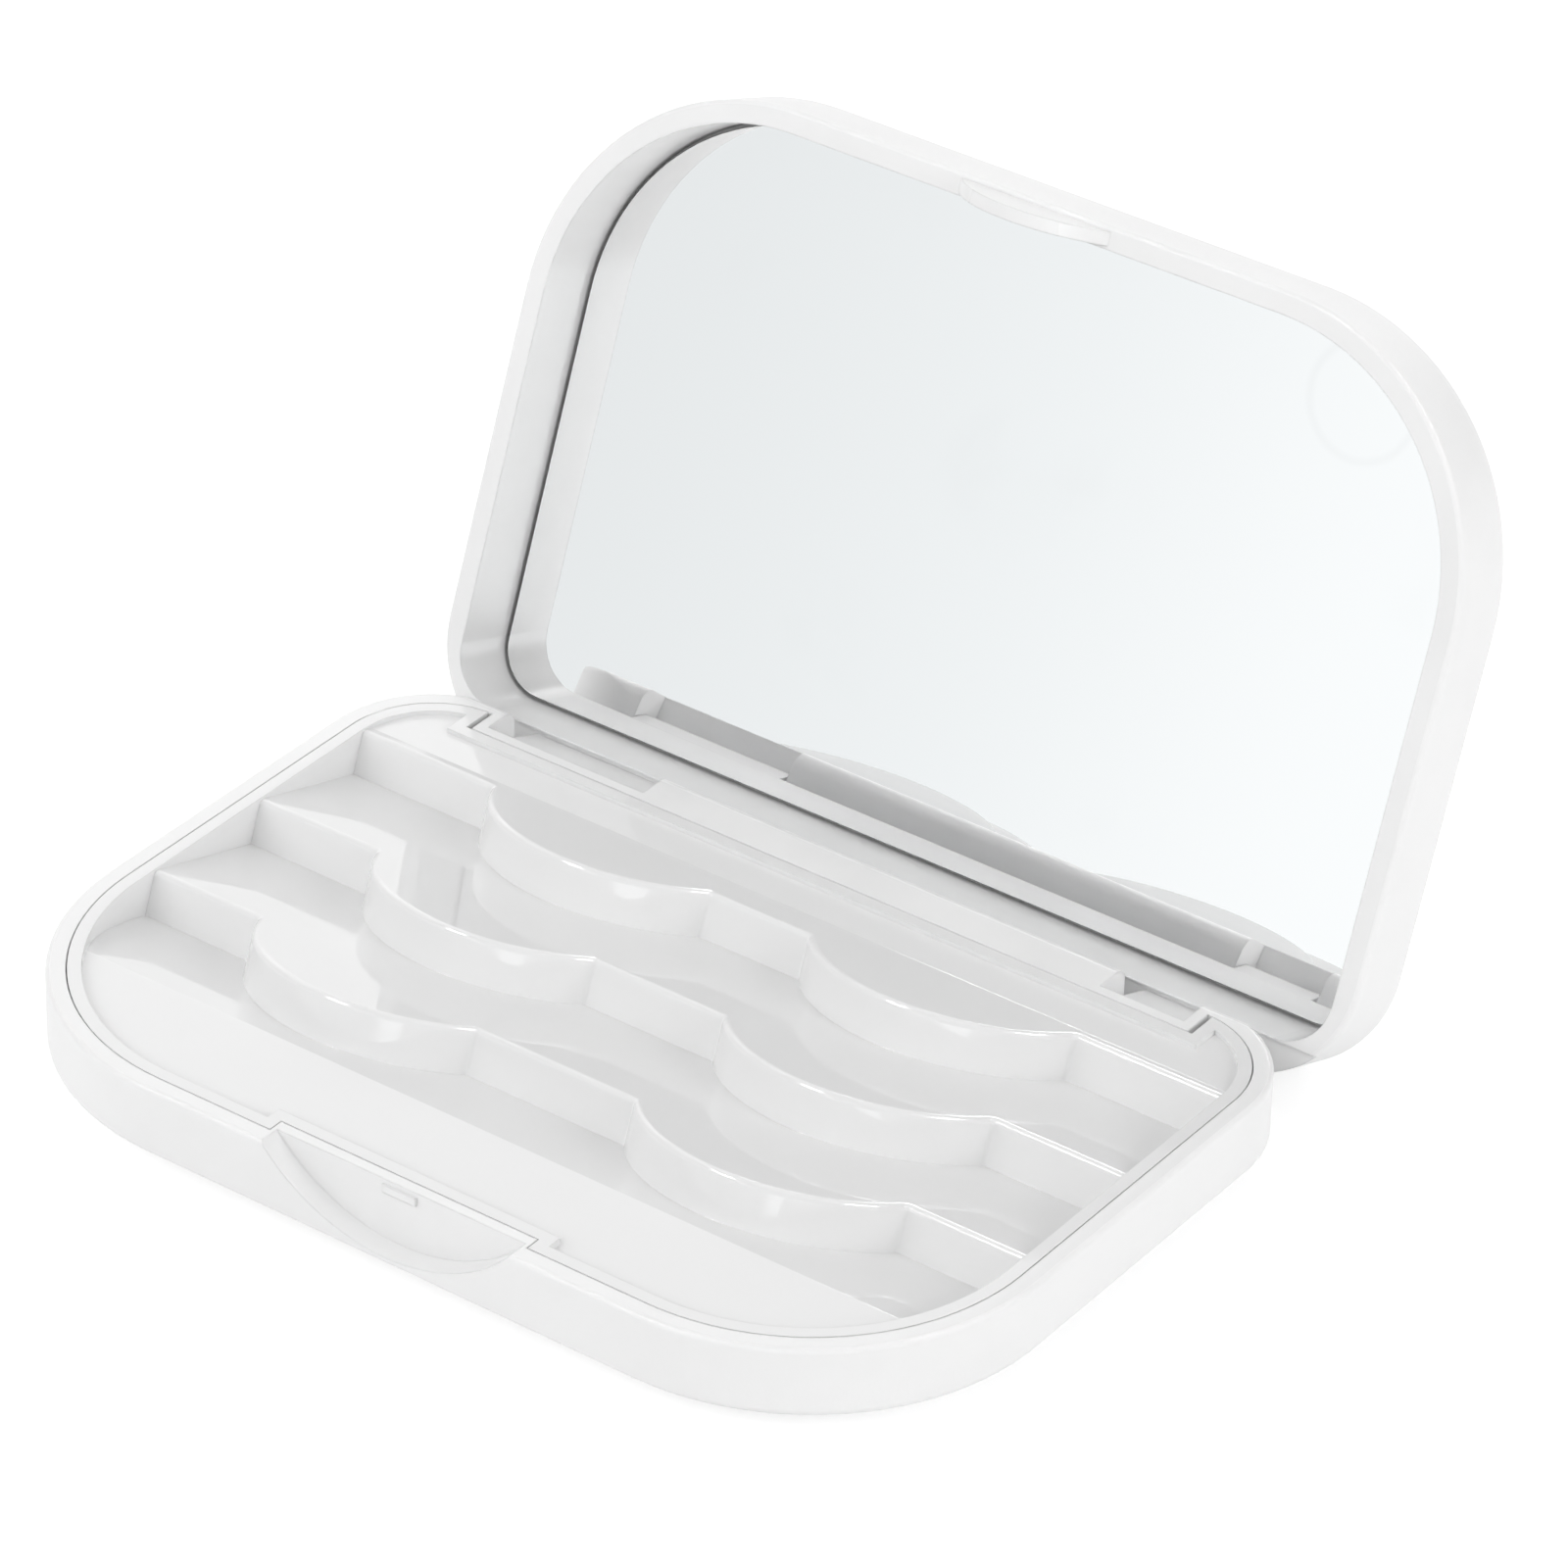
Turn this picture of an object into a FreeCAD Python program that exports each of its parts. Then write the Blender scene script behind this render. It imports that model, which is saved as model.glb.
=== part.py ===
import FreeCAD, Part
import os
import Sketcher

# Hinged case for false eyelashes: a shallow base with a stepped tray, and a lid with a mirror.
# Origin at the centre of the underside, X along the front edge, Y to the back, Z up, millimetres.
# The lid is written in the open pose, on its stop.

os.makedirs("parts", exist_ok=True)
doc = FreeCAD.newDocument("lash_case")

# Driving dimensions in millimetres and degrees
SIZES = {
    # Outline that base and lid share
    "case_width": 112.0,
    "case_depth": 75.0,
    "front_corner": 26.8,
    "rear_corner": 12.4,
    # Base shell
    "base_height": 11.0,
    "bevel_run": 5.6,
    "bevel_rise": 3.6,
    "bevel_round": 0.8,
    "rim_width": 2.0,
    "rim_round": 0.5,
    "rear_round": 1.6,
    "shelf_height": 4.2,
    "shelf_inset": 8.0,
    "floor_thick": 1.4,
    # Thumb scoop and catch in the front wall
    "scoop_half": 14.9,
    "scoop_drop": 6.8,
    "scoop_depth": 2.5,
    "catch_width": 4.0,
    "catch_height": 0.9,
    "catch_drop": 0.5,
    "catch_out": 0.3,
    # Tray seat
    "seam_gap": 0.12,
    "front_notch_half": 15.3,
    "front_notch_step": 1.7,
    "rear_notch_side": 11.6,
    "rear_notch_step": 3.6,
    "bar_end_gap": 0.5,
    # Tray
    "tray_rim": 1.4,
    "wave_top_drop": 0.1,
    "wave_rear_inset": 12.6,
    "wave_pitch_share": 0.2195,
    "floor_slope": 17.0,
    "wall_lean": 20.0,
    "bulge_radius": 17.15,
    "bulge_depth": 10.4,
    "bulge_blend": 0.5,
    "middle_step": 3.3,
    "rear_bulge_share": 0.178,
    "middle_bulge_share": 0.194,
    "front_bulge_share": 0.209,
    "ledge_drop": 0.5,
    "crest_rise": 4.0,
    "crest_round": 0.6,
    "apron_drop": 0.8,
    "tray_wall": 1.2,
    # Hinge
    "hinge_inset": 2.1,
    "hinge_drop": 4.5,
    "open_angle": 110.6,
    "knuckle_radius": 1.9,
    "arm_back": 0.9,
    "knuckle_gap": 0.4,
    "lug_end_gap": 0.3,
    "lug_side_wall": 1.5,
    "left_lug_length": 19.2,
    "right_lug_length": 9.2,
    "pin_radius": 0.8,
    "pin_play": 0.05,
    "pin_seat": 3.0,
    "pin_end_gap": 0.2,
    # Lid shell
    "lid_height": 10.1,
    "lid_round": 2.5,
    "lid_wall": 2.4,
    "lid_rear_wall": 4.7,
    "hollow_corner": 5.4,
    "lid_roof": 1.1,
    "parting_gap": 0.2,
    "rear_relief": 0.6,
    "rear_relief_run": 4.5,
    "tongue_half": 8.9,
    "tongue_drop": 4.8,
    "tongue_thick": 1.4,
    "tongue_setback": 0.6,
    # Mirror and its tape
    "mirror_gap": 0.4,
    "mirror_thick": 1.0,
    "mirror_bevel": 0.15,
    "tape_thick": 0.2,
    "tape_width": 12.0,
    "tape_length_share": 0.667,
    "tape_offset_share": 0.268,
    # Overrun of every cutting tool beyond the face it enters
    "overrun": 2.0,
}
sheet = doc.addObject("Spreadsheet::Sheet", "Sizes")
for row, (alias, number) in enumerate(SIZES.items(), start=1):
    sheet.set(f"A{row}", alias)
    sheet.set(f"B{row}", str(number))
    sheet.setAlias(f"B{row}", alias)
doc.recompute()


def full(formula):
    """Write the sheet's name in front of every size in a formula."""
    words = []
    word = ""
    for letter in formula + " ":
        if letter.isalnum() or letter == "_":
            word += letter
        else:
            words.append(f"Sizes.{word}" if word in SIZES else word)
            words.append(letter)
            word = ""
    return "".join(words).strip()


def value(formula):
    """Number that a formula of sizes gives."""
    result = sheet.evalExpression(full(formula))
    return float(getattr(result, "Value", result))


def bind(thing, path, formula):
    """Tie a property to a formula of sizes."""
    thing.setExpression(path, full(formula))


def body(name):
    made = doc.addObject("PartDesign::Body", name)
    made.Label = name
    return made


def sketch_on(owner, name, role, lift="0"):
    """Sketch of a body on one of its origin planes, lifted along the plane's normal."""
    plane = next(feature for feature in owner.Origin.OriginFeatures if feature.Role == role)
    sketch = owner.newObject("Sketcher::SketchObject", name)
    sketch.AttachmentSupport = [(plane, "")]
    sketch.MapMode = "FlatFace"
    bind(sketch, ".AttachmentOffset.Base.z", lift)
    return sketch


def free_sketch(name, height):
    """Level sketch outside any body, at a height."""
    sketch = doc.addObject("Sketcher::SketchObject", name)
    bind(sketch, ".Placement.Base.z", height)
    return sketch


def measure(sketch, kind, *terms):
    """Dimension whose last term is a formula of sizes."""
    index = sketch.addConstraint(Sketcher.Constraint(kind, *terms[:-1], value(terms[-1])))
    bind(sketch, f"Constraints[{index}]", terms[-1])


def fix(sketch, kind, *terms):
    sketch.addConstraint(Sketcher.Constraint(kind, *terms))


def line(sketch, start, end):
    return sketch.addGeometry(Part.LineSegment(FreeCAD.Vector(*start, 0), FreeCAD.Vector(*end, 0)))


def arc(sketch, centre, start, end):
    """Arc from start to end, counter-clockwise about the centre."""
    middle = FreeCAD.Vector(*centre, 0)
    first = FreeCAD.Vector(*start, 0) - middle
    last = FreeCAD.Vector(*end, 0) - middle
    ring = Part.Circle(middle, FreeCAD.Vector(0, 0, 1), first.Length)
    span = (ring.parameter(middle + first), ring.parameter(middle + last))
    return sketch.addGeometry(Part.ArcOfCircle(ring, *span))


def outline(sketch, half, front, rear, front_radius, rear_radius):
    """Rectangle with two large front corners and two smaller rear corners."""
    a, f, r = value(half), value(front), value(rear)
    p, q = value(front_radius), value(rear_radius)
    line(sketch, (p - a, -f), (a - p, -f))
    arc(sketch, (a - p, p - f), (a - p, -f), (a, p - f))
    line(sketch, (a, p - f), (a, r - q))
    arc(sketch, (a - q, r - q), (a, r - q), (a - q, r))
    line(sketch, (a - q, r), (q - a, r))
    arc(sketch, (q - a, r - q), (q - a, r), (-a, r - q))
    line(sketch, (-a, r - q), (-a, p - f))
    arc(sketch, (p - a, p - f), (-a, p - f), (p - a, -f))
    for edge in range(8):
        fix(sketch, "Tangent", edge, 2, (edge + 1) % 8, 1)
    fix(sketch, "Vertical", 2)
    fix(sketch, "Horizontal", 4)
    fix(sketch, "Vertical", 6)
    fix(sketch, "Symmetric", 0, 1, 0, 2, -2)
    fix(sketch, "Equal", 1, 7)
    fix(sketch, "Equal", 3, 5)
    measure(sketch, "DistanceX", -1, 1, 2, 1, half)
    measure(sketch, "DistanceY", 0, 1, -1, 1, front)
    measure(sketch, "DistanceY", -1, 1, 4, 1, rear)
    measure(sketch, "Radius", 1, front_radius)
    measure(sketch, "Radius", 3, rear_radius)


def inset_outline(sketch, inset):
    """Case outline moved inwards by an inset, about the case's centre."""
    half_depth = f"case_depth / 2 - ({inset})"
    outline(sketch, f"case_width / 2 - ({inset})", half_depth, half_depth,
            f"front_corner - ({inset})", f"rear_corner - ({inset})")


def rectangle(sketch, left, right, front, rear):
    """Rectangle between signed distances from the sketch's origin."""
    a, b, c, d = value(left), value(right), value(front), value(rear)
    line(sketch, (a, c), (b, c))
    line(sketch, (b, c), (b, d))
    line(sketch, (b, d), (a, d))
    line(sketch, (a, d), (a, c))
    for edge in range(4):
        fix(sketch, "Coincident", edge, 2, (edge + 1) % 4, 1)
    for edge in (0, 2):
        fix(sketch, "Horizontal", edge)
        fix(sketch, "Vertical", edge + 1)
    measure(sketch, "DistanceX", -1, 1, 0, 1, left)
    measure(sketch, "DistanceX", -1, 1, 1, 1, right)
    measure(sketch, "DistanceY", -1, 1, 0, 1, front)
    measure(sketch, "DistanceY", -1, 1, 2, 1, rear)


def segment(sketch, half, drop, level, above):
    """Circle segment that hangs below a level by a drop and reaches above it."""
    radius = f"(({half}) ^ 2 + ({drop}) ^ 2) / (2 * ({drop}))"
    centre = f"({level}) - ({drop}) + {radius}"
    r, c, top = value(radius), value(centre), value(f"({level}) + ({above})")
    side = (r ** 2 - (top - c) ** 2) ** 0.5
    arc(sketch, (0, c), (-side, top), (side, top))
    line(sketch, (side, top), (-side, top))
    fix(sketch, "Coincident", 0, 2, 1, 1)
    fix(sketch, "Coincident", 1, 2, 0, 1)
    fix(sketch, "Horizontal", 1)
    fix(sketch, "PointOnObject", 0, 3, -2)
    measure(sketch, "Radius", 0, radius)
    measure(sketch, "DistanceY", -1, 1, 0, 3, centre)
    measure(sketch, "DistanceY", -1, 1, 1, 1, f"({level}) + ({above})")


def circle(sketch, across, up, radius):
    """Circle at signed distances from the sketch's origin."""
    ring = Part.Circle(FreeCAD.Vector(value(across), value(up), 0), FreeCAD.Vector(0, 0, 1), value(radius))
    sketch.addGeometry(ring)
    measure(sketch, "DistanceX", -1, 1, 0, 3, across)
    measure(sketch, "DistanceY", -1, 1, 0, 3, up)
    measure(sketch, "Radius", 0, radius)


def pad(owner, name, sketch, length):
    made = owner.newObject("PartDesign::Pad", name)
    made.Profile = sketch
    bind(made, "Length", length)
    sketch.Visibility = False
    doc.recompute()
    return made


def pocket(owner, name, sketch, length, reverse=False):
    made = owner.newObject("PartDesign::Pocket", name)
    made.Profile = sketch
    bind(made, "Length", length)
    made.Reversed = reverse
    sketch.Visibility = False
    doc.recompute()
    return made


# Share of a shape's height within which an edge counts as lying at a height
NEAR_SHARE = 0.001


def edges_at(feature, height):
    """Names of a feature's edges that lie wholly at one height."""
    near = feature.Shape.BoundBox.ZLength * NEAR_SHARE
    names = []
    for number, edge in enumerate(feature.Shape.Edges, start=1):
        if max(abs(vertex.Z - height) for vertex in edge.Vertexes) < near and edge.BoundBox.ZLength < near:
            names.append(f"Edge{number}")
    return names


def dress(owner, kind, name, feature, edges, **sizes):
    """Fillet or chamfer on named edges of a feature."""
    made = owner.newObject(kind, name)
    made.Base = (feature, edges)
    for key, formula in sizes.items():
        bind(made, key, formula)
    doc.recompute()
    return made


# Positions that several pieces share
HINGE_Y = "(case_depth / 2 - hinge_inset)"
HINGE_Z = "(base_height - hinge_drop)"
LID_RIM = "(hinge_drop + parting_gap)"
MIRROR_FACE = f"({LID_RIM} + lid_height - lid_roof - tape_thick - mirror_thick)"
TRAY_INSET = "(rim_width + seam_gap)"
TRAY_INNER = "(rim_width + seam_gap + tray_rim)"
ALONG_X = FreeCAD.Rotation(FreeCAD.Vector(0, 1, 0), FreeCAD.Vector(0, 0, 1),
                           FreeCAD.Vector(1, 0, 0), "ZXY")
REAR_NOTCH = "(case_width / 2 - rear_notch_side)"
BAR_END = f"({REAR_NOTCH} - bar_end_gap)"
LUG_OUTER = f"({BAR_END} - lug_side_wall)"
LUGS = (("left", f"-{LUG_OUTER}", f"left_lug_length - {LUG_OUTER}"),
        ("right", f"{LUG_OUTER} - right_lug_length", LUG_OUTER))

# Base shell: block, bevelled underside and rounded rim
base = body("base_shell")
profile = sketch_on(base, "base_outline", "XY_Plane")
inset_outline(profile, "0")
block = pad(base, "base_block", profile, "base_height")
bevel = dress(base, "PartDesign::Chamfer", "base_bevel", block, edges_at(block, 0))
bevel.ChamferType = "Two distances"
bind(bevel, "Size", "bevel_rise")
bind(bevel, "Size2", "bevel_run")
doc.recompute()
soft = dress(base, "PartDesign::Fillet", "base_bevel_round", bevel,
             edges_at(bevel, value("bevel_rise")) + edges_at(bevel, 0), Radius="bevel_round")
rim = dress(base, "PartDesign::Fillet", "base_rim_round", soft, edges_at(soft, value("base_height")),
            Radius="rim_round")

# Base shell: seat of the tray on a shelf, and the hollow below it
profile = sketch_on(base, "seat_outline", "XY_Plane", "base_height + overrun")
inset_outline(profile, "rim_width")
pocket(base, "seat", profile, "base_height + overrun - shelf_height")
profile = sketch_on(base, "hollow_outline", "XY_Plane", "shelf_height + overrun")
inset_outline(profile, "shelf_inset")
pocket(base, "hollow", profile, "shelf_height + overrun - floor_thick")

# Base shell: thicker wall behind the scoop and thick bar that carries the hinge
profile = sketch_on(base, "scoop_wall_plan", "XY_Plane", "shelf_height")
rectangle(profile, "-front_notch_half", "front_notch_half", "rim_width / 2 - case_depth / 2",
          "rim_width + front_notch_step - case_depth / 2")
pad(base, "scoop_wall", profile, "base_height - shelf_height")
profile = sketch_on(base, "hinge_bar_plan", "XY_Plane", "shelf_height")
rectangle(profile, f"-{BAR_END}", BAR_END, "case_depth / 2 - rim_width - rear_notch_step",
          "case_depth / 2 - rim_width / 2")
pad(base, "hinge_bar", profile, "base_height - shelf_height")


def edge_round(sketch, across, up, radius):
    """Area outside a quarter round that replaces the corner at a distance across and up."""
    a, u, r, o = value(across), value(up), value(radius), value("overrun")
    arc(sketch, (a - r, u - r), (a, u - r), (a - r, u))
    line(sketch, (a - r, u), (a - r, u + o))
    line(sketch, (a - r, u + o), (a + o, u + o))
    line(sketch, (a + o, u + o), (a + o, u - r))
    line(sketch, (a + o, u - r), (a, u - r))
    for edge in range(5):
        fix(sketch, "Coincident", edge, 2, (edge + 1) % 5, 1)
    for edge in (1, 3):
        fix(sketch, "Vertical", edge)
        fix(sketch, "Horizontal", edge + 1)
    fix(sketch, "Horizontal", 0, 1, 0, 3)
    fix(sketch, "Vertical", 0, 2, 0, 3)
    measure(sketch, "Radius", 0, radius)
    measure(sketch, "DistanceX", -1, 1, 0, 3, f"{across} - {radius}")
    measure(sketch, "DistanceY", -1, 1, 0, 3, f"{up} - {radius}")
    measure(sketch, "DistanceY", -1, 1, 2, 1, f"{up} + overrun")
    measure(sketch, "DistanceX", -1, 1, 3, 1, f"{across} + overrun")


# Base shell: rounded rear edge
profile = sketch_on(base, "rear_edge", "YZ_Plane", "case_width / 2")
edge_round(profile, "case_depth / 2", "base_height", "rear_round")
pocket(base, "rear_edge_round", profile, "case_width")

# Base shell: thumb scoop and catch
profile = sketch_on(base, "scoop_front", "XZ_Plane", "case_depth / 2 + overrun")
segment(profile, "scoop_half", "scoop_drop", "base_height", "overrun")
pocket(base, "scoop", profile, "scoop_depth + overrun")
profile = sketch_on(base, "catch_front", "XZ_Plane", "case_depth / 2 - scoop_depth")
rectangle(profile, "-catch_width / 2", "catch_width / 2", "base_height - catch_drop - catch_height",
          "base_height - catch_drop")
pad(base, "catch", profile, "catch_out")

# Base shell: open slots for the lid's lugs and bores for the pins
for side, start, end in LUGS:
    profile = sketch_on(base, f"slot_plan_{side}", "XY_Plane", "base_height + overrun")
    rectangle(profile, f"{start} - lug_end_gap", f"{end} + lug_end_gap",
              f"{HINGE_Y} - knuckle_radius - knuckle_gap", "case_depth / 2 + overrun")
    pocket(base, f"slot_{side}", profile, "hinge_drop + overrun + knuckle_radius + knuckle_gap")
profile = sketch_on(base, "bore_side_left", "YZ_Plane", "-case_width / 2")
circle(profile, HINGE_Y, HINGE_Z, "pin_radius")
pocket(base, "bore_left", profile, f"case_width / 2 + {LUGS[0][2]} + lug_end_gap + pin_seat", True)
profile = sketch_on(base, "bore_side_right", "YZ_Plane", "case_width / 2")
circle(profile, HINGE_Y, HINGE_Z, "pin_radius")
pocket(base, "bore_right", profile, f"case_width / 2 - ({LUGS[1][1]}) + lug_end_gap + pin_seat")


def hang(thing):
    """Turn a piece built about the hinge axis into the lid's open pose."""
    thing.Placement = FreeCAD.Placement(FreeCAD.Vector(0, value(HINGE_Y), value(HINGE_Z)),
                                        FreeCAD.Rotation(FreeCAD.Vector(-1, 0, 0), value("open_angle")))
    bind(thing, ".Placement.Base.y", HINGE_Y)
    bind(thing, ".Placement.Base.z", HINGE_Z)
    bind(thing, ".Placement.Rotation.Angle", "open_angle")
    doc.recompute()


def lid_outline(sketch, side, rear, rear_radius):
    """Case outline moved inwards at the sides, front and rear, about the hinge axis."""
    outline(sketch, f"case_width / 2 - ({side})", f"case_depth - hinge_inset - ({side})",
            f"hinge_inset - ({rear})", f"front_corner - ({side})", rear_radius)


# Lid shell: rounded block, hollow for the mirror and relief along the rear edge
lid = body("lid_shell")
profile = sketch_on(lid, "lid_plan", "XY_Plane", LID_RIM)
lid_outline(profile, "0", "0", "rear_corner")
block = pad(lid, "lid_block", profile, "lid_height")
crown = dress(lid, "PartDesign::Fillet", "lid_crown", block,
              edges_at(block, value(f"{LID_RIM} + lid_height")), Radius="lid_round")
dress(lid, "PartDesign::Fillet", "lid_rim_round", crown, edges_at(crown, value(LID_RIM)),
      Radius="rim_round")
profile = sketch_on(lid, "lid_hollow_plan", "XY_Plane", f"{LID_RIM} - overrun")
lid_outline(profile, "lid_wall", "lid_rear_wall", "hollow_corner")
pocket(lid, "lid_hollow", profile, "lid_height - lid_roof + overrun", True)
profile = sketch_on(lid, "lid_relief_plan", "XY_Plane", f"{LID_RIM} - overrun")
rectangle(profile, "-case_width / 2 - overrun", "case_width / 2 + overrun", "hinge_inset - rear_relief_run",
          "hinge_inset + overrun")
pocket(lid, "lid_relief", profile, "rear_relief + overrun", True)

# Lid shell: latch tongue at the front, lugs at the rear
profile = sketch_on(lid, "tongue_front", "XZ_Plane",
                    "case_depth - hinge_inset - tongue_setback - tongue_thick")
segment(profile, "tongue_half", "tongue_drop", LID_RIM, "rim_width")
pad(lid, "tongue", profile, "tongue_thick")


def lug_profile(sketch):
    """Round knuckle about the hinge axis with an arm up into the lid's rear wall."""
    r, back, top = value("knuckle_radius"), value("arm_back"), value(f"{LID_RIM} + rear_relief + rim_width")
    lift = (r ** 2 - back ** 2) ** 0.5
    arc(sketch, (0, 0), (-r, 0), (back, lift))
    line(sketch, (back, lift), (back, top))
    line(sketch, (back, top), (-r, top))
    line(sketch, (-r, top), (-r, 0))
    for edge in range(3):
        fix(sketch, "Coincident", edge, 2, edge + 1, 1)
    fix(sketch, "Tangent", 3, 2, 0, 1)
    fix(sketch, "Vertical", 1)
    fix(sketch, "Horizontal", 2)
    fix(sketch, "Vertical", 3)
    fix(sketch, "Coincident", 0, 3, -1, 1)
    measure(sketch, "Radius", 0, "knuckle_radius")
    measure(sketch, "DistanceX", -1, 1, 1, 1, "arm_back")
    measure(sketch, "DistanceY", -1, 1, 2, 1, f"{LID_RIM} + rear_relief + rim_width")


for side, start, end in LUGS:
    profile = sketch_on(lid, f"lug_side_{side}", "YZ_Plane", start)
    lug_profile(profile)
    pad(lid, f"lug_{side}", profile, f"({end}) - ({start})")
profile = sketch_on(lid, "lug_bore_side", "YZ_Plane", "case_width / 2")
circle(profile, "0", "0", "pin_radius + pin_play")
pocket(lid, "lug_bore", profile, "case_width")
hang(lid)

# Mirror plate with ground edges
mirror = body("mirror")
profile = sketch_on(mirror, "mirror_plan", "XY_Plane", MIRROR_FACE)
lid_outline(profile, "lid_wall + mirror_gap", "lid_rear_wall + mirror_gap", "hollow_corner - mirror_gap")
plate = pad(mirror, "mirror_plate", profile, "mirror_thick")
dress(mirror, "PartDesign::Chamfer", "mirror_edge", plate, edges_at(plate, value(MIRROR_FACE)),
      Size="mirror_bevel")
hang(mirror)

# Two strips of adhesive tape between mirror and lid
MIRROR_MIDDLE = "(hinge_inset - lid_rear_wall - (case_depth - lid_wall - lid_rear_wall) / 2)"
HALF_TAPE = "case_depth * tape_length_share / 2"
TAPE_OFFSET = "case_width * tape_offset_share"
for side, centre in (("left", f"-{TAPE_OFFSET}"), ("right", TAPE_OFFSET)):
    strip = body(f"mirror_tape_{side}")
    profile = sketch_on(strip, f"tape_plan_{side}", "XY_Plane", f"{MIRROR_FACE} + mirror_thick")
    rectangle(profile, f"{centre} - tape_width / 2", f"{centre} + tape_width / 2",
              f"{MIRROR_MIDDLE} - {HALF_TAPE}", f"{MIRROR_MIDDLE} + {HALF_TAPE}")
    pad(strip, f"tape_{side}", profile, "tape_thick")
    hang(strip)

# Hinge pins pressed into the base
PINS = (("left", f"pin_end_gap - {BAR_END}", f"{LUGS[0][2]} + lug_end_gap + pin_seat"),
        ("right", f"{LUGS[1][1]} - lug_end_gap - pin_seat", f"{BAR_END} - pin_end_gap"))
for side, start, end in PINS:
    pin = doc.addObject("Part::Cylinder", f"hinge_pin_{side}")
    pin.Label = f"hinge_pin_{side}"
    pin.Placement.Rotation = ALONG_X
    bind(pin, "Radius", "pin_radius")
    bind(pin, "Height", f"({end}) - ({start})")
    bind(pin, ".Placement.Base.x", start)
    bind(pin, ".Placement.Base.y", HINGE_Y)
    bind(pin, ".Placement.Base.z", HINGE_Z)


def extrusion(name, sketch, direction, length):
    made = doc.addObject("Part::Extrusion", name)
    made.Base = sketch
    made.DirMode = "Custom"
    made.Dir = FreeCAD.Vector(*direction)
    made.Solid = True
    bind(made, "LengthFwd", length)
    return made


def box(name, left, right, front, rear, low, high):
    made = doc.addObject("Part::Box", name)
    for path, formula in (("Length", f"({right}) - ({left})"), ("Width", f"({rear}) - ({front})"),
                          ("Height", f"({high}) - ({low})"), (".Placement.Base.x", left),
                          (".Placement.Base.y", front), (".Placement.Base.z", low)):
        bind(made, path, formula)
    return made


def boolean(kind, name, shapes):
    made = doc.addObject(kind, name)
    made.Shapes = shapes
    return made


def difference(name, stock, tool):
    made = doc.addObject("Part::Cut", name)
    made.Base = stock
    made.Tool = tool
    return made


def notched(name, inset, low, high):
    """Tray outline block with its front and rear notches, moved inwards by an inset."""
    plan = free_sketch(f"{name}_plan", low)
    inset_outline(plan, inset)
    stock = extrusion(f"{name}_block", plan, (0, 0, 1), f"({high}) - ({low})")
    grow = f"({inset}) - rim_width"
    front = box(f"{name}_front_notch", f"-front_notch_half - ({grow})", f"front_notch_half + {grow}",
                "-case_depth", f"rim_width + front_notch_step + {grow} - case_depth / 2",
                f"({low}) - overrun", f"({high}) + overrun")
    rear = box(f"{name}_rear_notch", f"-{REAR_NOTCH} - ({grow})", f"{REAR_NOTCH} + {grow}",
               f"case_depth / 2 - rim_width - rear_notch_step - ({grow})", "case_depth",
               f"({low}) - overrun", f"({high}) + overrun")
    return difference(name, stock, boolean("Part::MultiFuse", f"{name}_notches", [front, rear]))


# Tray: rimmed block with a raised field for the wave crests
skirt = notched("tray_skirt", TRAY_INSET, "shelf_height", "base_height")
field = notched("tray_field", TRAY_INNER, "shelf_height", "base_height + crest_rise")
stock = boolean("Part::MultiFuse", "tray_stock", [skirt, field])
region = notched("tray_region", TRAY_INNER, "shelf_height - overrun", "base_height + crest_rise + overrun")

# Tray: every row is a sloping floor that ends at the back in a leaning wave wall
PITCH = "(case_depth * wave_pitch_share)"
FOOT_DROP = f"({PITCH} * tan(floor_slope) / (1 + tan(floor_slope) * tan(wall_lean)))"
WAVE_TOP = "(base_height - wave_top_drop)"


def lean():
    """Direction of the wave walls, from foot to crest."""
    turn = FreeCAD.Rotation(FreeCAD.Vector(-1, 0, 0), value("wall_lean"))
    return turn.multVec(FreeCAD.Vector(0, 0, 1))


def tilt(sketch, y, z, slope):
    """Lay a sketch on a floor that falls to the back from a line at y and z."""
    sketch.Placement = FreeCAD.Placement(FreeCAD.Vector(0, value(y), value(z)),
                                         FreeCAD.Rotation(FreeCAD.Vector(-1, 0, 0), value(slope)))
    bind(sketch, ".Placement.Base.y", y)
    bind(sketch, ".Placement.Base.z", z)
    bind(sketch, ".Placement.Rotation.Angle", slope)


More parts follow.
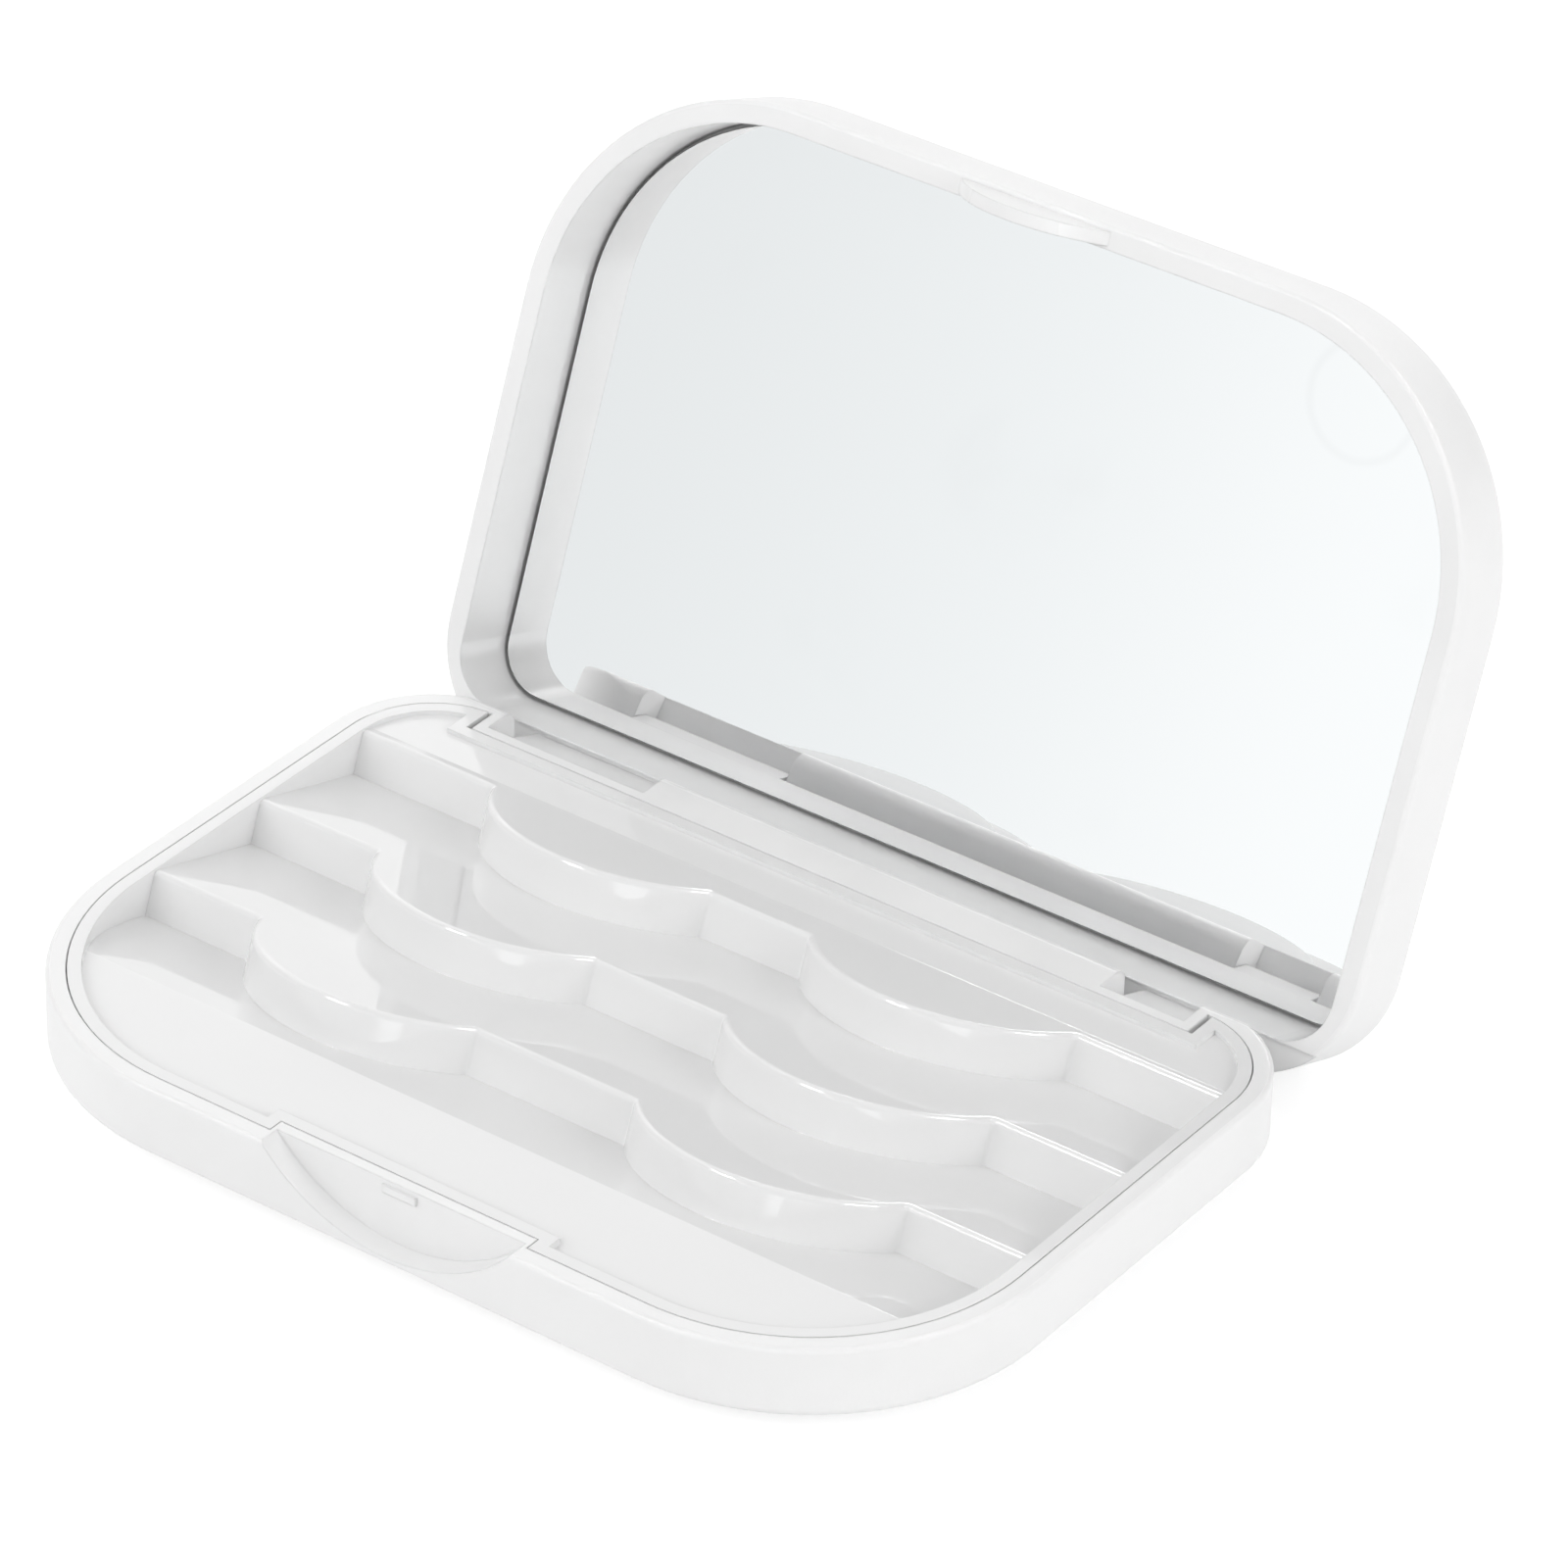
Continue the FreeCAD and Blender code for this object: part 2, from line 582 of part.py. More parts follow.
def wave(sketch, bulge_x):
    """Floor area in front of a wave: straight, bulge, straight, bulge, straight along its back."""
    half, front = value("case_width / 2"), -value("case_depth")
    x, r, m, b = value(bulge_x), value("bulge_radius"), value("middle_step"), value("bulge_blend")
    c = value("bulge_radius - bulge_depth")
    outer = x + ((r + b) ** 2 - (c + b) ** 2) ** 0.5
    inner = x - ((r + b) ** 2 - (c + m + b) ** 2) ** 0.5
    meet_share = r / (r + b)
    meet_out = (x + (outer - x) * meet_share, c - (c + b) * meet_share)
    meet_in = (x + (inner - x) * meet_share, c - (c + m + b) * meet_share)
    line(sketch, (half, front), (half, 0))
    line(sketch, (half, 0), (outer, 0))
    arc(sketch, (outer, -b), (outer, 0), meet_out)
    arc(sketch, (x, c), meet_in, meet_out)
    arc(sketch, (inner, -m - b), meet_in, (inner, -m))
    line(sketch, (inner, -m), (-inner, -m))
    arc(sketch, (-inner, -m - b), (-inner, -m), (-meet_in[0], meet_in[1]))
    arc(sketch, (-x, c), (-meet_out[0], meet_out[1]), (-meet_in[0], meet_in[1]))
    arc(sketch, (-outer, -b), (-meet_out[0], meet_out[1]), (-outer, 0))
    line(sketch, (-outer, 0), (-half, 0))
    line(sketch, (-half, 0), (-half, front))
    line(sketch, (-half, front), (half, front))
    joints = ((1, 2, 2, 1), (2, 2, 3, 2), (3, 1, 4, 1), (4, 2, 5, 1),
              (5, 2, 6, 1), (6, 2, 7, 2), (7, 1, 8, 1), (8, 2, 9, 1))
    for first, first_end, second, second_end in joints:
        fix(sketch, "Tangent", first, first_end, second, second_end)
    for first, second in ((0, 1), (9, 10), (10, 11), (11, 0)):
        fix(sketch, "Coincident", first, 2, second, 1)
    for edge in (1, 5, 9, 11):
        fix(sketch, "Horizontal", edge)
    for edge in (0, 10):
        fix(sketch, "Vertical", edge)
    for edge in (4, 6, 8):
        fix(sketch, "Equal", 2, edge)
    fix(sketch, "PointOnObject", 1, 1, -1)
    fix(sketch, "PointOnObject", 9, 2, -1)
    fix(sketch, "Symmetric", 3, 3, 7, 3, -2)
    fix(sketch, "Equal", 3, 7)
    measure(sketch, "Radius", 3, "bulge_radius")
    measure(sketch, "Radius", 2, "bulge_blend")
    measure(sketch, "DistanceX", -1, 1, 3, 3, bulge_x)
    measure(sketch, "DistanceY", -1, 1, 3, 3, "bulge_radius - bulge_depth")
    measure(sketch, "DistanceY", 5, 1, -1, 1, "middle_step")
    measure(sketch, "DistanceX", -1, 1, 0, 1, "case_width / 2")
    measure(sketch, "DistanceX", 10, 1, -1, 1, "case_width / 2")
    measure(sketch, "DistanceY", 0, 1, -1, 1, "case_depth")


def polygon(sketch, corners):
    """Closed polygon through corners given as pairs of formulas."""
    points = [(value(across), value(up)) for across, up in corners]
    for number in range(len(points)):
        line(sketch, points[number], points[(number + 1) % len(points)])
    for number, (across, up) in enumerate(corners):
        fix(sketch, "Coincident", number, 2, (number + 1) % len(corners), 1)
        measure(sketch, "DistanceX", -1, 1, number, 1, across)
        measure(sketch, "DistanceY", -1, 1, number, 1, up)


REAR_WAVE = "(case_depth / 2 - wave_rear_inset)"
WAVES = (("rear", "case_width * rear_bulge_share", REAR_WAVE),
         ("middle", "case_width * middle_bulge_share", f"({REAR_WAVE} - {PITCH})"),
         ("front", "case_width * front_bulge_share", f"({REAR_WAVE} - 2 * {PITCH})"))
rows = []
plan = doc.addObject("Sketcher::SketchObject", "row_ledge_plan")
tilt(plan, REAR_WAVE, WAVE_TOP, "floor_slope")
rectangle(plan, "-case_width / 2", "case_width / 2", "-case_depth", "case_depth / 2")
LEDGE = "(base_height - ledge_drop)"
level = box("row_ledge_level", "-case_width / 2", "case_width / 2", "-case_depth", "case_depth",
            LEDGE, f"{LEDGE} + case_depth")
slope = extrusion("row_ledge_slope", plan, lean(), "case_depth")
rows.append(boolean("Part::MultiCommon", "row_ledge", [slope, level]))
for name, bulge_x, wave_y in WAVES:
    plan = doc.addObject("Sketcher::SketchObject", f"row_{name}_plan")
    tilt(plan, f"{wave_y} - {FOOT_DROP} * tan(wall_lean)", f"{WAVE_TOP} - {FOOT_DROP}", "floor_slope")
    wave(plan, bulge_x)
    rows.append(extrusion(f"row_{name}", plan, lean(), "case_depth"))

# Tray: the front row's floor ends in a level apron just below the rim
FRONT_FOOT = f"({WAVES[-1][2]} - {FOOT_DROP} * tan(wall_lean))"
APRON_REAR = f"({FRONT_FOOT} - ({FOOT_DROP} + wave_top_drop - apron_drop) / tan(floor_slope))"
rows.append(box("row_apron", "-case_width / 2", "case_width / 2",
                "-case_depth", f"{APRON_REAR} + overrun",
                "base_height - apron_drop", "base_height + case_depth"))

# Tray: open underside, with a hollow below every crest
CEILING = f"({WAVE_TOP} - {FOOT_DROP} - tray_wall)"
SKIN = "(tray_wall / cos(floor_slope))"
PEAK = (f"(({SKIN} + tray_wall * tan(floor_slope) / cos(wall_lean))"
        " / (1 + tan(floor_slope) * tan(wall_lean)))")
LOW = "(shelf_height - overrun)"
cores = [box("core_slab", "-case_width / 2", "case_width / 2", "-case_depth", "case_depth", LOW, CEILING)]
LEDGE_CEILING = f"({LEDGE} - tray_wall)"
LEDGE_BACK = f"({REAR_WAVE} + tray_wall / cos(wall_lean))"
profiles = [("ledge", [(f"{LEDGE_BACK} - ({WAVE_TOP} - {LOW}) * tan(wall_lean)", LOW),
                       ("case_depth", LOW),
                       ("case_depth", LEDGE_CEILING),
                       (f"{LEDGE_BACK} - ({WAVE_TOP} - {LEDGE_CEILING}) * tan(wall_lean)", LEDGE_CEILING)])]
for name, bulge_x, wave_y in WAVES[1:]:
    back = f"{wave_y} + tray_wall / cos(wall_lean)"
    profiles.append((name, [(f"{back} - ({WAVE_TOP} - {LOW}) * tan(wall_lean)", LOW),
                            (f"{wave_y} + ({WAVE_TOP} - {LOW} - {SKIN}) / tan(floor_slope)", LOW),
                            (f"{back} - {PEAK} * tan(wall_lean)", f"{WAVE_TOP} - {PEAK}")]))
APRON_CEILING = "base_height - apron_drop - tray_wall"
APRON_LOW = f"{FRONT_FOOT} + ({CEILING} + tray_wall - {LOW} - {SKIN}) / tan(floor_slope)"
profiles.append(("apron", [("-case_depth", LOW),
                           (APRON_LOW, LOW),
                           (f"{APRON_REAR} - ({SKIN} - tray_wall) / tan(floor_slope)", APRON_CEILING),
                           ("-case_depth", APRON_CEILING)]))
for name, corners in profiles:
    plan = doc.addObject("Sketcher::SketchObject", f"core_{name}_plan")
    plan.Placement.Rotation = ALONG_X
    bind(plan, ".Placement.Base.x", f"{TRAY_INNER} - case_width / 2")
    polygon(plan, corners)
    cores.append(extrusion(f"core_{name}", plan, (1, 0, 0), f"case_width - 2 * {TRAY_INNER}"))
doc.recompute()
hollows = [boolean("Part::MultiCommon", f"{tool.Name}_hollow", [tool, region]) for tool in rows + cores]
cut = difference("tray_cut", stock, boolean("Part::MultiFuse", "tray_hollows", hollows))
doc.recompute()

# Tray: rounded crests
tray = body("lash_tray")
tray.BaseFeature = cut
doc.recompute()


def crest_edges(feature):
    """Names of the edges along the crests of the three waves."""
    near = value("crest_round") / 10
    names = []
    for number, edge in enumerate(feature.Shape.Edges, start=1):
        points = edge.discretize(5)
        for name, bulge_x, wave_y in WAVES:
            y, z, fall = value(wave_y), value(WAVE_TOP), value("tan(floor_slope)")
            on_floor = all(abs(z - (point.y - y) * fall - point.z) < near for point in points)
            ahead = all(point.y < y + near for point in points)
            across = edge.BoundBox.XLength > near
            if on_floor and ahead and across:
                names.append(f"Edge{number}")
    return names


crests = crest_edges(tray.Tip)
dress(tray, "PartDesign::Fillet", "crest_rounds", tray.Tip, crests, Radius="crest_round")

# Check and write every piece
NODES = ["base_shell", "lash_tray", "lid_shell", "mirror", "mirror_tape_left", "mirror_tape_right",
         "hinge_pin_left", "hinge_pin_right"]
for thing in doc.Objects:
    if "Invalid" in thing.State or "Error" in thing.State:
        raise RuntimeError(f"{thing.Name} has not computed: {thing.State}")
for name in NODES:
    shape = doc.getObject(name).Shape
    if shape.isNull() or not shape.isValid() or len(shape.Solids) != 1:
        raise RuntimeError(f"{name} is not one valid solid: {len(shape.Solids)} solids")
    shape.exportStep(f"parts/{name}.step")
    extent = shape.BoundBox
    print(f"{name}: {shape.Volume / 1000:.2f} cm3, x {extent.XMin:.2f} to {extent.XMax:.2f}, "
          f"y {extent.YMin:.2f} to {extent.YMax:.2f}, z {extent.ZMin:.2f} to {extent.ZMax:.2f}")
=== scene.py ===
# %% [markdown]
# This lesson dresses a hinged case for false eyelashes: a shallow white base with a stepped tray,
# and a lid that stands open and carries a mirror.
# The solids come from a CAD model, so every shape already sits at its real place, in metres.
# Our work is the looks: the camera, the studio light and the finish of every piece.

# %% Load the packed model
import bmesh
import bpy
import math
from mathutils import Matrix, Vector

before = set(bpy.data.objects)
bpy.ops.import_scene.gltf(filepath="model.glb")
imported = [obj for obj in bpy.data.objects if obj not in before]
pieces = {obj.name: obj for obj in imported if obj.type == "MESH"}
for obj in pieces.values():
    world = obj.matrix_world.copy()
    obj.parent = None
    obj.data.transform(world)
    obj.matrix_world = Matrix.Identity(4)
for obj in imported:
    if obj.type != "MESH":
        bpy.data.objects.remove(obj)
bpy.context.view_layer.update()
scene = bpy.context.scene
print("Pieces:", ", ".join(sorted(pieces)))

# %% [markdown]
# The case was photographed from the front right and a little above, with a long lens.
# A camera fitted to the outline of the case gives its place and its turn, which we write down once.
# A long lens keeps parallel edges nearly parallel, so the narrow steps of the tray stay readable.

# %% Camera at the viewing angle of the photograph
SENSOR_MM = 36.0
LENS_MM = 183.2
NEAREST_M = 0.01
CAMERA_PLACE = (0.37913, -0.50953, 0.44884)
CAMERA_TURN_DEG = (57.1177, -1.3426, 36.2003)

camera = bpy.data.objects.new("photo_camera", bpy.data.cameras.new("photo_camera"))
camera.data.sensor_width = SENSOR_MM
camera.data.lens = LENS_MM
camera.data.clip_start = NEAREST_M
camera.location = CAMERA_PLACE
camera.rotation_euler = [math.radians(angle) for angle in CAMERA_TURN_DEG]
scene.collection.objects.link(camera)
scene.camera = camera
print("Camera distance in m:", round(camera.location.length, 3))

# %% [markdown]
# A finish is a graph of nodes, and a graph is hard to read when every link is written by hand.
# So one small class wraps a socket, and plain sums on it add the Math nodes.

# %% Sums on shader values
class Value:
    """A number, colour or vector that changes over a surface."""

    def __init__(self, graph, socket):
        self.graph = graph
        self.socket = socket

    def math(self, operation, first, second):
        return self.graph.node("Math", {"operation": operation}, {0: first, 1: second})["Value"]

    def __add__(self, other):
        return self.math("ADD", self, other)

    def __radd__(self, other):
        return self.math("ADD", other, self)

    def __sub__(self, other):
        return self.math("SUBTRACT", self, other)

    def __rsub__(self, other):
        return self.math("SUBTRACT", other, self)

    def __mul__(self, other):
        return self.math("MULTIPLY", self, other)

    def __rmul__(self, other):
        return self.math("MULTIPLY", other, self)


print("Reflected sums:", [name for name in vars(Value) if name.startswith("__r")])

# %% [markdown]
# Every other node comes from one method, which sets the node's settings first and then its sockets.
# The short methods below it only save writing: a smooth step, a blend of two colours, a dot product,
# a noise texture, and the Principled shader with its output.

# %% Node graphs of the finishes
class Graph:
    """The node tree of one finish, of the floor or of the world."""

    def __init__(self, owner):
        owner.use_nodes = True
        self.tree = owner.node_tree
        self.tree.nodes.clear()

    def node(self, kind, settings=None, sockets=None):
        """Add one node: settings first, then the values or links of its sockets."""
        made = self.tree.nodes.new("ShaderNode" + kind)
        for name, setting in (settings or {}).items():
            setattr(made, name, setting)
        for name, entry in (sockets or {}).items():
            usable = [socket for socket in made.inputs if socket.enabled and socket.name == name]
            target = made.inputs[name] if isinstance(name, int) else usable[0]
            if isinstance(entry, Value):
                self.tree.links.new(entry.socket, target)
            else:
                target.default_value = entry
        return {socket.name: Value(self, socket) for socket in made.outputs if socket.enabled}

    def step(self, value, low, high, start=0.0, end=1.0):
        """Smooth step from start to end while a value goes from low to high."""
        return self.node("MapRange", {"interpolation_type": "SMOOTHSTEP"},
                         {"Value": value, "From Min": low, "From Max": high,
                          "To Min": start, "To Max": end})["Result"]

    def blend(self, share, first, second):
        """Colour between two colours."""
        return self.node("Mix", {"data_type": "RGBA"}, {"Factor": share, "A": first, "B": second})["Result"]

    def dot(self, first, second):
        return self.node("VectorMath", {"operation": "DOT_PRODUCT"}, {0: first, 1: second})["Value"]

    def noise(self, place, per_metre, detail):
        """Noise between 0 and 1, with so many swings in a metre."""
        return self.node("TexNoise", None, {"Vector": place, "Scale": per_metre, "Detail": detail})["Fac"]

    def principled(self, sockets):
        """The shader of a finish, linked to the material's output."""
        shader = self.node("BsdfPrincipled", None, sockets)["BSDF"]
        self.node("OutputMaterial", None, {"Surface": shader})


print("Graph methods:", [name for name in vars(Graph) if not name.startswith("__")])

# %% [markdown]
# The case stood in a white light tent. A tent lights evenly, and what a glossy face mirrors is the
# tent too: bright cloth on the left, brightest behind where a lamp shone through, dimmer cloth on
# the right, and a dark opening above.
# A direction has three numbers: across, back and up. Each stretch of cloth changes smoothly along
# one of them, so four numbers give it: where the change starts and ends, and the light at both ends.

# %% Cloth of the light tent
LEFT_HALF = (-0.15, 0.25, 1.0, 0.0)
LEFT_TOP = (0.5, 0.62, 1.0, 0.6)
DARK_OPENING = (0.76, 0.84, 1.0, 0.03)
LEFT_FRONT = (-0.56, -0.4, 0.83, 1.02)
LEFT_FRONT_END = (-0.475, -0.43, 0.0, 0.02)
REAR_START = (0.1, 0.5, 0.0, 1.0)
REAR_LAMP = (0.15, 0.4, 0.6, 1.5)
RIGHT_REAR = (-0.1, 0.15, 0.8, 0.1)
RIGHT_TOP = (0.2, 0.45, 1.0, 0.25)

world = bpy.data.worlds.new("light_tent")
scene.world = world
tent = Graph(world)
towards = tent.node("TexCoord")["Generated"]
parts = tent.node("SeparateXYZ", None, {"Vector": towards})
across, back, up = parts["X"], parts["Y"], parts["Z"]
left_side = tent.step(across, *LEFT_HALF)
left_cloth = tent.step(up, *LEFT_TOP) * tent.step(up, *DARK_OPENING)
left_shade = tent.step(across, *LEFT_FRONT) + tent.step(across, *LEFT_FRONT_END)
rear_lamp = tent.step(back, *REAR_START) * tent.step(up, *REAR_LAMP)
right_cloth = tent.step(back, *RIGHT_REAR) * tent.step(up, *RIGHT_TOP)
cloth = left_side * left_cloth * (left_shade + rear_lamp) + (1 - left_side) * right_cloth
print("Cloth nodes:", len(tent.tree.nodes))

# %% [markdown]
# Small bright sources give polished edges their sparkle. Two windows near the top draw the glints on
# the crests of the tray, and a narrow strip straight above draws the thin line along every crest.
# The tent's door at the front right is wide and mild. The lid's inner wall sees it through the mirror.
# A round source is a dot product with its direction, and a strip is where a dot product is near zero.

# %% Windows, strip and door of the tent
WINDOWS = ((-0.34, -0.42, 0.84), (0.5, 0.3, 0.81))
WINDOW_EDGE = (0.988, 0.994)
WINDOW_LIGHT = 38.0
STRIP_ACROSS = (0, 0.97, -0.22)
STRIP_FRONT_EDGE = (-0.08, -0.04)
STRIP_REAR_EDGE = (0.04, 0.08, 1.0, 0.0)
STRIP_FOOT = (0.6, 0.7)
STRIP_LIGHT = 5.0
DOOR = (0.486, -0.873, 0.042)
DOOR_EDGE = (0.93, 0.98)
DOOR_LIGHT = 2.0

for window in WINDOWS:
    cloth = cloth + WINDOW_LIGHT * tent.step(tent.dot(towards, window), *WINDOW_EDGE)
offset = tent.dot(towards, STRIP_ACROSS)
strip = tent.step(offset, *STRIP_FRONT_EDGE) * tent.step(offset, *STRIP_REAR_EDGE) * tent.step(up, *STRIP_FOOT)
door = tent.step(tent.dot(towards, DOOR), *DOOR_EDGE)
cloth = cloth + STRIP_LIGHT * strip + DOOR_LIGHT * door
print("Bright sources:", len(WINDOWS), "windows, a strip and a door")

# %% [markdown]
# One world can do all of it. Light Path tells which kind of ray asks: the camera always sees white,
# glossy faces see the tent, and matt faces only get the tent's weak glow.
# The cloth in front, which the mirror shows, is a little cooler, most of all towards the left.

# %% World for every kind of ray
TENT_GLOW = 0.43
PURE_WHITE = (1, 1, 1, 1)
COOL_CLOTH = (0.96, 0.99, 1.0, 1)
COOL_FRONT = (-0.75, -0.55, 1.0, 0.0)
COOL_LEFT = (-0.48, -0.43, 1.0, 0.75)

scene.view_settings.view_transform = "Standard"
ray = tent.node("LightPath")
glossy = ray["Is Glossy Ray"]
seen = ray["Is Camera Ray"] + ray["Is Transmission Ray"]
brightness = seen + (1 - seen) * (glossy * cloth + (1 - glossy) * TENT_GLOW)
cool = glossy * tent.step(back, *COOL_FRONT) * tent.step(across, *COOL_LEFT)
tint = tent.blend(cool, PURE_WHITE, COOL_CLOTH)
glow = tent.node("Background", None, {"Color": tint, "Strength": brightness})["Background"]
tent.node("OutputWorld", None, {"Surface": glow})
print("Tent nodes:", len(tent.tree.nodes))

# %% [markdown]
# Large soft lamps around the tent give the gentle shading that shows the form.
# They stand in a ring, with one above. Each has an angle from the front and a height above the table,
# both in degrees, a width in metres and a strength in watts.
# They are kept out of reflections, because the real lamps shone through cloth and left no spots.

# %% Soft lamps around the case
AIM = Vector((0, 0.02, 0.03))
LAMP_DISTANCE_M = 1.3
LAMPS = {
    "rear_left": (-135, 22, 0.9, 2.8),
    "rear": (180, 15, 0.9, 1.6),
    "front_left": (-45, 31, 1.1, 5.4),
    "front": (0, 40, 1.0, 3.7),
    "right": (92, 21, 0.9, 7.2),
    "above": (180, 78, 0.9, 1.6),
}

for name, (around, above, width, watts) in LAMPS.items():
    light = bpy.data.lights.new(name, "AREA")
    light.shape = "DISK"
    light.size = width
    light.energy = watts
    lamp = bpy.data.objects.new(name, light)
    turn, rise = math.radians(around), math.radians(above)
    direction = Vector((math.sin(turn) * math.cos(rise), -math.cos(turn) * math.cos(rise), math.sin(rise)))
    lamp.location = AIM + LAMP_DISTANCE_M * direction
    lamp.rotation_euler = direction.to_track_quat("Z", "Y").to_euler()
    lamp.visible_glossy = False
    scene.collection.objects.link(lamp)
total_watts = sum(watts for around, above, width, watts in LAMPS.values())
print("Lamps:", len(LAMPS), "with", round(total_watts, 1), "W in all")

# %% [markdown]
# The floor is plain white paper. In the photograph it is pure white, with only a trace of shade
# below the case. Paper that glows a little for the camera does that: the glow lifts it to white,
# and the part that is left to the lamps keeps the shadow. Other rays meet ordinary white paper.

# %% White paper floor
FLOOR_HALF_M = 3.0
PAPER = (0.9, 0.9, 0.9, 1)
SEEN_PAPER = (0.55, 0.55, 0.55, 1)
SEEN_GLOW = 0.62

shape = bmesh.new()
bmesh.ops.create_grid(shape, x_segments=1, y_segments=1, size=FLOOR_HALF_M)
sheet = bpy.data.meshes.new("paper_floor")
shape.to_mesh(sheet)
shape.free()
floor = bpy.data.objects.new("paper_floor", sheet)
scene.collection.objects.link(floor)

paper = bpy.data.materials.new("white_paper")
graph = Graph(paper)
ray = graph.node("LightPath")
seen = ray["Is Camera Ray"] + ray["Is Glossy Ray"] + ray["Is Transmission Ray"]
matt = graph.node("BsdfDiffuse", None, {"Color": PAPER})["BSDF"]
shade = graph.node("BsdfDiffuse", None, {"Color": SEEN_PAPER})["BSDF"]
lift = graph.node("Emission", None, {"Strength": SEEN_GLOW})["Emission"]
white = graph.node("AddShader", None, {0: shade, 1: lift})["Shader"]
surface = graph.node("MixShader", None, {0: seen, 1: matt, 2: white})["Shader"]
graph.node("OutputMaterial", None, {"Surface": surface})
sheet.materials.append(paper)
print("Floor half width in m:", FLOOR_HALF_M)

# %% [markdown]
# Base and lid are moulded in white plastic. The mould was spark eroded outside, which leaves a fine
# satin grain on the outer walls, and it was smoother inside and on the rims.
# A face looks outwards when its normal points away from a point in the middle of the shell,
# so one dot product tells the grained faces from the smooth ones, with no painted mask.
# A Bevel node softens the sharp edges in the shading, as a moulded edge is never quite sharp.

# %% Satin plastic of the two shells
WHITE = (0.85, 0.85, 0.85, 1)
OFF_WHITE = (0.825, 0.825, 0.825, 1)
PLASTIC_IOR = 1.53
SHELL_CLOUD_PER_M = 60.0
CLOUD_EDGE = (0.35, 0.65)
FLOW_PER_M = 300.0
FLOW_SHARE = 0.25
GRAIN_PER_M = 2800
GRAIN_HEIGHT_M = 0.000012
EDGE_ROUND_M = 0.00025
EDGE_SAMPLES = 4
OUTSIDE_EDGE_M = (0.002, 0.007)
SMOOTH_ROUGH, GRAIN_ROUGH, CLOUD_ROUGH = 0.24, 0.2, 0.12
BASE_MIDDLE = (0, 0, 0.011)
LID_MIDDLE = (0, 0.0497, 0.0389)


def satin_shell(name, middle):
    """Satin white plastic with grain on the faces that look away from a middle point."""
    made = bpy.data.materials.new(name)
    graph = Graph(made)
    place = graph.node("TexCoord")
    outward = graph.node("VectorMath", {"operation": "SUBTRACT"}, {0: place["Object"], 1: middle})["Vector"]
    outside = graph.step(graph.dot(outward, place["Normal"]), *OUTSIDE_EDGE_M)
    grain = graph.noise(place["Object"], GRAIN_PER_M, 2.0)
    cloud = graph.noise(place["Object"], SHELL_CLOUD_PER_M, 4.0)
    flow = graph.noise(place["Object"], FLOW_PER_M, 2.0)
    colour = graph.blend(graph.step(cloud, *CLOUD_EDGE), OFF_WHITE, WHITE)
    height = grain * outside + flow * FLOW_SHARE
    edge = graph.node("Bevel", {"samples": EDGE_SAMPLES}, {"Radius": EDGE_ROUND_M})["Normal"]
    bump = graph.node("Bump", None, {"Distance": GRAIN_HEIGHT_M, "Height": height, "Normal": edge})["Normal"]
    rough = SMOOTH_ROUGH + GRAIN_ROUGH * outside + CLOUD_ROUGH * (cloud - 0.5)
    graph.principled({"Base Color": colour, "Roughness": rough, "IOR": PLASTIC_IOR, "Normal": bump})
    return made


pieces["base_shell"].data.materials[0] = satin_shell("satin_base", BASE_MIDDLE)
pieces["lid_shell"].data.materials[0] = satin_shell("satin_lid", LID_MIDDLE)
print("Shell nodes:", len(pieces["lid_shell"].data.materials[0].node_tree.nodes))

# %% [markdown]
# The tray is the same white plastic, but from a polished mould, so the lash strips peel off easily.
# Its waves mirror each other sharply, and the light runs along the crests in thin lines.
# A very low, wide waviness keeps those reflections from looking like glass,
# and hair-thin scratches along the rows come from tweezers and brushes.

# %% Polished plastic of the tray
POLISHED = (0.81, 0.81, 0.81, 1)
POLISHED_DIM = (0.795, 0.795, 0.795, 1)
TRAY_EDGE_M = 0.00012
TRAY_CLOUD_PER_M = 70.0
WAVINESS_PER_M = 260
WAVINESS_HEIGHT_M = 0.000004
HAIR_PER_M = 5200.0
HAIR_TURN = (0, 0, 0.12)
HAIR_STRETCH = (0.03, 1, 1)
HAIR_EDGE = (0.66, 0.74)
HAIR_PATCH = (0.5, 0.62)
SCRATCH_DEPTH = 0.25
POLISH_ROUGH, DIM_ROUGH, SCRATCH_ROUGH = 0.01, 0.02, 0.14

polished = bpy.data.materials.new("polished_tray")
graph = Graph(polished)
place = graph.node("TexCoord")
swell = graph.noise(place["Object"], WAVINESS_PER_M, 1.0)
cloud = graph.noise(place["Object"], TRAY_CLOUD_PER_M, 4.0)
along = graph.node("Mapping", None, {"Vector": place["Object"], "Rotation": HAIR_TURN, "Scale": HAIR_STRETCH})
hair = graph.noise(along["Vector"], HAIR_PER_M, 2.0)
scratch = graph.step(hair, *HAIR_EDGE) * graph.step(cloud, *HAIR_PATCH)
colour = graph.blend(cloud, POLISHED, POLISHED_DIM)
edge = graph.node("Bevel", {"samples": EDGE_SAMPLES}, {"Radius": TRAY_EDGE_M})["Normal"]
bump = graph.node("Bump", None, {"Distance": WAVINESS_HEIGHT_M, "Height": swell - SCRATCH_DEPTH * scratch,
                                 "Normal": edge})["Normal"]
rough = POLISH_ROUGH + DIM_ROUGH * cloud + SCRATCH_ROUGH * scratch
graph.principled({"Base Color": colour, "Roughness": rough, "IOR": PLASTIC_IOR, "Normal": bump})
pieces["lash_tray"].data.materials[0] = polished
print("Tray nodes:", len(graph.tree.nodes))

